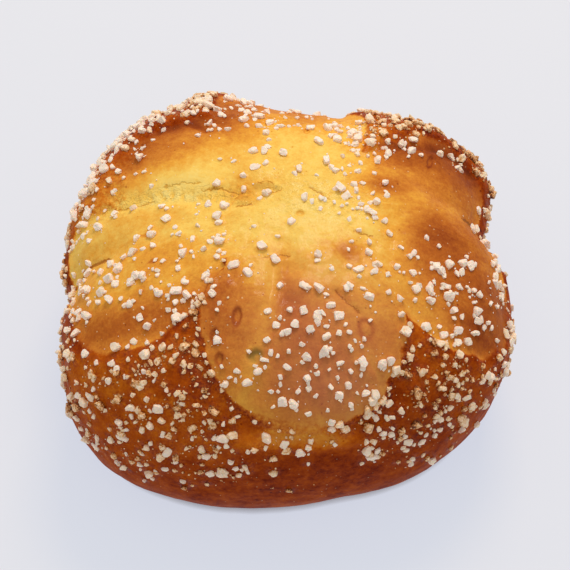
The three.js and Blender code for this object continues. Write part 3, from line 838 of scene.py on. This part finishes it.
melted = add_node(tree, "MapRange", {"Value": freckle, **GLAZE_FRECKLES})
melted = add_node(tree, "Math", (melted, GLAZE_WEIGHT), operation="MULTIPLY")
washed = add_node(tree, "MapRange", {"Value": layer["first_crust"], **EGG_WASH})
coat = add_node(tree, "Math", (layer["glaze"], melted, washed), operation="MULTIPLY_ADD")
bump = add_node(tree, "Bump", {"Distance": MM, "Strength": 0.8, "Height": add_patterns(0.0, SKIN)})
sockets = {"Base Color": colour, "Roughness": roughness, "Coat Weight": coat, "Normal": bump}
for name, socket in sockets.items():
    tree.links.new(socket, shader.inputs[name])
shader.inputs["IOR"].default_value = 1.45
shader.inputs["Specular IOR Level"].default_value = 0
shader.inputs["Sheen Weight"].default_value = 0.08
shader.inputs["Sheen Roughness"].default_value = 0.3
shader.inputs["Sheen Tint"].default_value = linear("#F3DDE2")
shader.inputs["Coat Roughness"].default_value = 0.12
crust.data.materials.append(crust_material)

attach(crust, "root")
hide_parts("brioche")

# ======================================================================================================
# The pearl sugar
# Nibs of pressed white sugar, strewn on the egg wash before baking. They stay white on the pale top and
# take on caramel where the crust under them browned. Each is a knobbly pebble sunk a little in the dough.
# ======================================================================================================

GRAIN_LIFT = (-0.05, 0.5)  # how high a grain's middle stands above the crust, in its radii
NIB_HALF_SIZES = [(0.78, 1.35), (0.52, 0.92), (0.48, 0.8)]  # least and most along each axis, in radii
NIB_SIDE_TILT = 0.38  # how far its sides are off square
NIB_CHAMFERS = 6
NIB_CHAMFER_CUTS = (0.74, 1.1)  # radii from its middle to a chamfer
NIB_LONGEST = 1.5  # radii from its middle to its furthest corner
NIB_GRIT = 0.035  # unevenness of its faces, in radii
NIB_LEAN = 0.35  # radians
PIT_DEPTH = 0.22  # radii
# share of the corners that have crumbled
PITS_IN_WHITE, PITS_IN_TOASTED, PITS_IN_CRUMBS = 0.12, 0.35, 0.2
CRUMBS = 1700
CRUMB_RADIUS = (0.22, 0.6)  # mm
CRUMB_REACH = 0.05  # how far from its nib a crumb may lie, as part of the loaf's size
CRUMBLING = 0.15  # how readily a white nib sheds crumbs beside a toasted one

# caramel stains a nib most at its foot and least on top; its pits are darkened partly by caramel and partly
# as painted shade
BURIED = (0.7, -0.3)  # heights above its middle, in radii, over which a nib gets into the caramel
STAIN_ON_TOP, STAIN_AT_FOOT = 0.42, 0.8
PIT_STAIN_AND_SHADE = {"share": 0.5, "least": 0.06}

crust_points = read_points(crust.data) / MM
crust_normals = np.array([vertex.normal for vertex in crust.data.vertices])
crust_tree = kdtree.KDTree(len(direction))
for i, way in enumerate(direction):
    crust_tree.insert(way, i)
crust_tree.balance()


def take_pattern():
    """Directions and faces of the primitive that was just added, which goes again."""
    pattern = bpy.context.object
    points = read_points(pattern.data)
    faces = [polygon.vertices[:] for polygon in pattern.data.polygons]
    bpy.data.objects.remove(pattern)
    return points / np.linalg.norm(points, axis=1)[:, None], np.array(faces)


bpy.ops.object.select_all(action="DESELECT")
bpy.ops.mesh.primitive_cube_add(size=2)
bpy.ops.object.mode_set(mode="EDIT")
bpy.ops.mesh.subdivide(number_cuts=2)
bpy.ops.object.mode_set(mode="OBJECT")
NIB_PATTERN = take_pattern()
bpy.ops.mesh.primitive_ico_sphere_add(subdivisions=1, radius=1)
CRUMB_PATTERN = take_pattern()


def chip_shape(draw, points, pits):
    """An angular chip of about radius 1: a skewed block with broken edges; and how deep its pits are."""
    sides = np.concatenate([np.eye(3), -np.eye(3)]) + NIB_SIDE_TILT * draw.uniform(-1, 1, (6, 3))
    sides = np.concatenate([sides, draw.normal(size=(NIB_CHAMFERS, 3))])
    sides /= np.linalg.norm(sides, axis=1)[:, None]
    half_sizes = [draw.uniform(*ends) for ends in NIB_HALF_SIZES]
    cuts = np.concatenate([half_sizes, half_sizes, draw.uniform(*NIB_CHAMFER_CUTS, NIB_CHAMFERS)])
    reach = np.minimum(1 / np.max(points @ sides.T / cuts, axis=1), NIB_LONGEST)
    pit = draw.uniform(0, 1, len(points)) * (draw.uniform(0, 1, len(points)) < pits)
    reach *= 1 - PIT_DEPTH * pit + NIB_GRIT * draw.uniform(-1, 1, len(points))
    return points * reach[:, None], pit


def sugar_piece(name, pattern, pits, ways, radii, stains, seed):
    """One mesh of many chips of sugar, each with its own shape, half sunk in the finished crust."""
    draw = np.random.default_rng(seed)
    pattern_points, pattern_faces = pattern
    points, layers = [], []
    for way, radius, stain in zip(ways, radii, stains):
        shape, pit = chip_shape(draw, pattern_points, pits)
        found = crust_tree.find(Vector(way))[1]
        normal = crust_normals[found]
        lean, roll, turn = draw.uniform(-1, 1, 3) * [NIB_LEAN, NIB_LEAN, math.pi]
        upright = Vector((0, 0, 1)).rotation_difference(Vector(normal)).to_matrix()
        matrix = np.array(upright @ Euler((lean, roll, turn)).to_matrix())
        chip = radius * shape @ matrix.T
        points.append(crust_points[found] + normal * draw.uniform(*GRAIN_LIFT) * radius + chip)
        buried = ramp(chip @ normal / radius, *BURIED)
        # pits darkened partly by caramel and partly as painted shade
        pit_stain_and_shade = PIT_STAIN_AND_SHADE["share"] * pit * min(stain + PIT_STAIN_AND_SHADE["least"], 1)
        layers.append(stain * (STAIN_ON_TOP + STAIN_AT_FOOT * buried) + pit_stain_and_shade)
    points = np.clip(np.concatenate(points) * MM, cad_low, cad_high)
    faces = np.concatenate([pattern_faces + i * len(pattern_points) for i in range(len(ways))])
    mesh = bpy.data.meshes.new(name)
    mesh.from_pydata(points, [], faces)
    write_layer(mesh, "stain", np.concatenate(layers))
    mesh.materials.append(sugar_material)
    piece = bpy.data.objects.new(name, mesh)
    bpy.context.collection.objects.link(piece)
    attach(piece, "root")
    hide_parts("brioche")


# Pressed sugar: matte, faintly see-through crystals, so light goes a little way in and edges glow
SUGAR_COLOURS = [(0.0, "#FFE6CC"), (0.25, "#F9D2A0"), (0.5, "#DB9C58"), (0.75, "#A8621F"), (1.0, "#6A300A")]
CRYSTAL_SIZE = 0.7 * MM
STAIN_UNEVENNESS = {"To Min": 0.25, "To Max": 1.75}  # caramel's share, from crystal to crystal
sugar_material = bpy.data.materials.new("pearl_sugar")
sugar_material.use_nodes = True
tree = sugar_material.node_tree
shader = tree.nodes["Principled BSDF"]
place = add_node(tree, "TexCoord", out="Object")
stained = add_node(tree, "Attribute", out="Fac", attribute_name="stain")
crystals = {"Vector": place, "Scale": 1 / CRYSTAL_SIZE, "Detail": 3, "Roughness": 0.7}
crystals = add_node(tree, "TexNoise", crystals)
uneven = add_node(tree, "MapRange", {"Value": crystals, **NOISE_ENDS, **STAIN_UNEVENNESS})
caramel = add_node(tree, "ValToRGB", [add_node(tree, "Math", (stained, uneven), operation="MULTIPLY")])
fill_ramp(caramel, SUGAR_COLOURS)
bump = add_node(tree, "Bump", {"Distance": 0.3 * MM, "Strength": 0.6, "Height": crystals})
tree.links.new(caramel, shader.inputs["Base Color"])
tree.links.new(bump, shader.inputs["Normal"])
shader.inputs["Roughness"].default_value = 0.5
shader.inputs["IOR"].default_value = 1.5
shader.inputs["Specular IOR Level"].default_value = 0.35
shader.inputs["Subsurface Weight"].default_value = 0.32
shader.inputs["Subsurface Radius"].default_value = (1.2, 0.8, 0.5)
shader.inputs["Subsurface Scale"].default_value = 0.8 * MM

# Sugar on dark crust is toasted, some nibs by luck more than others, and in some places more
TOAST = {"least": 0.04, "luck": 0.7, "edge": 0.01}
STAIN_BY_LUCK = 0.08  # on pale dough too
MOST_STAIN = 0.9
TOASTED_FROM = 0.3
TOASTED_PLACES = [
    patch(0.4, (-0.3, -0.5), (0.11, 0.2)),  # left of the front lobe
    patch(0.4, (0.47, -0.5), (0.16, 0.14)),  # right of it
    patch(0.35, (-0.3, 0.8), (0.12, 0.12)),  # peak of the back left ridge
    patch(0.55, (0.62, 0.58), (0.26, 0.14)),  # back right ridge
    patch(-0.5, (-0.66, 0.5), (0.24, 0.26)),  # back left ridge, which stays white
]
grain_p, grain_q, _ = lean_of(grain_way)
random = random_stream(SUGAR_SEED + 1)
tone = np.array([next(random) for _ in grain_radius])
toast = TOAST["least"] + TOAST["luck"] * tone**2 + spots_sum(TOASTED_PLACES, grain_p, grain_q)
toast *= rise(-opening(grain_p, grain_q), TOAST["edge"])
stain = np.clip(toast + STAIN_BY_LUCK * tone**2, 0, MOST_STAIN)
is_toasted = stain > TOASTED_FROM
for name, picked, pits, seed in (
    ("white_nibs", ~is_toasted, PITS_IN_WHITE, 1),
    ("toasted_nibs", is_toasted, PITS_IN_TOASTED, 2),
):
    sugar_piece(name, NIB_PATTERN, pits, grain_way[picked], grain_radius[picked], stain[picked], seed)

# Crumbs broken off the nibs lie round them
draw = np.random.default_rng(SUGAR_SEED)
crumbling = CRUMBLING + stain**2
parent = draw.choice(len(grain_way), CRUMBS, p=crumbling / crumbling.sum())
crumb_way = grain_way[parent] + draw.normal(size=(CRUMBS, 3)) * CRUMB_REACH
crumb_way /= np.linalg.norm(crumb_way, axis=1)[:, None]
crumb_radius = CRUMB_RADIUS[0] + (CRUMB_RADIUS[1] - CRUMB_RADIUS[0]) * draw.uniform(0, 1, CRUMBS) ** 2
sugar_piece("sugar_crumbs", CRUMB_PATTERN, PITS_IN_CRUMBS, crumb_way, crumb_radius, stain[parent], 3)

# ======================================================================================================
# Floor, light and camera
# An over-lit white tabletop, which glows a little of itself, under a bright ceiling and one softbox that
# stands behind the loaf. The camera looks down steeply from the front.
# ======================================================================================================

FLOOR_SIZE = 6
CONTACT_SHADE = 3.5 * MM  # the floor's own brightness fades this near to the loaf
floor_material = bpy.data.materials.new("pale_floor")
floor_material.use_nodes = True
tree = floor_material.node_tree
shader = tree.nodes["Principled BSDF"]
shader.inputs["Base Color"].default_value = linear("#88785A")
shader.inputs["Roughness"].default_value = 0.9
shader.inputs["Specular IOR Level"].default_value = 0.1
glow = {"Color": linear("#E2ECFF"), "Distance": CONTACT_SHADE}
glow = add_node(tree, "AmbientOcclusion", glow, samples=8)
tree.links.new(glow, shader.inputs["Emission Color"])
shader.inputs["Emission Strength"].default_value = 0.72
bpy.ops.object.select_all(action="DESELECT")
bpy.ops.mesh.primitive_plane_add(size=FLOOR_SIZE, location=(0, 0, 0))
floor = bpy.context.object
floor.name = "floor"
floor.data.materials.append(floor_material)

# the studio's white ceiling and back wall are bright, its camera side is dark
CEILING, BACK_WALL, ALL_ROUND, DARKEST = 0.4, 0.1, 0.45, 0.03
world = bpy.data.worlds.new("studio")
world.use_nodes = True
tree = world.node_tree
direction_node = add_node(tree, "SeparateXYZ", [add_node(tree, "TexCoord", out="Generated")], out="Z").node
above, behind = direction_node.outputs["Z"], direction_node.outputs["Y"]
bright = add_node(tree, "Math", (behind, BACK_WALL, ALL_ROUND), operation="MULTIPLY_ADD")
bright = add_node(tree, "Math", (above, CEILING, bright), operation="MULTIPLY_ADD")
bright = add_node(tree, "Math", (bright, DARKEST), operation="MAXIMUM")
sky = tree.nodes["Background"]
sky.inputs["Color"].default_value = linear("#F0F4FF")
tree.links.new(bright, sky.inputs["Strength"])
bpy.context.scene.world = world

SOFTBOX = {"place": (0.15, 0.75, 1.1), "size": (0.5, 0.4), "watts": 8.3, "colour": "#FFF7EE"}
LIT_PLACE = Vector((0, 0, 0.03))
bpy.ops.object.light_add(type="AREA", location=SOFTBOX["place"])
key = bpy.context.object
key.name = "softbox"
key.data.shape = "RECTANGLE"
key.data.size, key.data.size_y = SOFTBOX["size"]
key.data.energy = SOFTBOX["watts"]
key.data.color = linear(SOFTBOX["colour"])[:3]
key.rotation_mode = "QUATERNION"
key.rotation_quaternion = (LIT_PLACE - key.location).to_track_quat("-Z", "Y")

CAMERA_TARGET = Vector((0.00057, -0.00078, 0.035))
CAMERA_DISTANCE = 0.8
CAMERA_ELEVATION = math.radians(60)
PIXELS_PER_METRE = 2600  # at the target
IMAGE_SIZE = 570
TARGET_PIXEL = (287, 297.5)

back = Vector((0, -math.cos(CAMERA_ELEVATION), math.sin(CAMERA_ELEVATION)))
up = Vector((0, math.sin(CAMERA_ELEVATION), math.cos(CAMERA_ELEVATION)))
off_right = (IMAGE_SIZE / 2 - TARGET_PIXEL[0]) / PIXELS_PER_METRE
off_up = (TARGET_PIXEL[1] - IMAGE_SIZE / 2) / PIXELS_PER_METRE
aim = CAMERA_TARGET + Vector((1, 0, 0)) * off_right + up * off_up
bpy.ops.object.camera_add(location=CAMERA_TARGET + back * CAMERA_DISTANCE)
camera = bpy.context.object
camera.name = "camera"
camera.data.sensor_width = 36
camera.data.lens = PIXELS_PER_METRE * CAMERA_DISTANCE / IMAGE_SIZE * camera.data.sensor_width
camera.rotation_mode = "QUATERNION"
camera.rotation_quaternion = (aim - camera.location).to_track_quat("-Z", "Y")
bpy.context.scene.camera = camera
bpy.context.scene.view_settings.view_transform = "Standard"
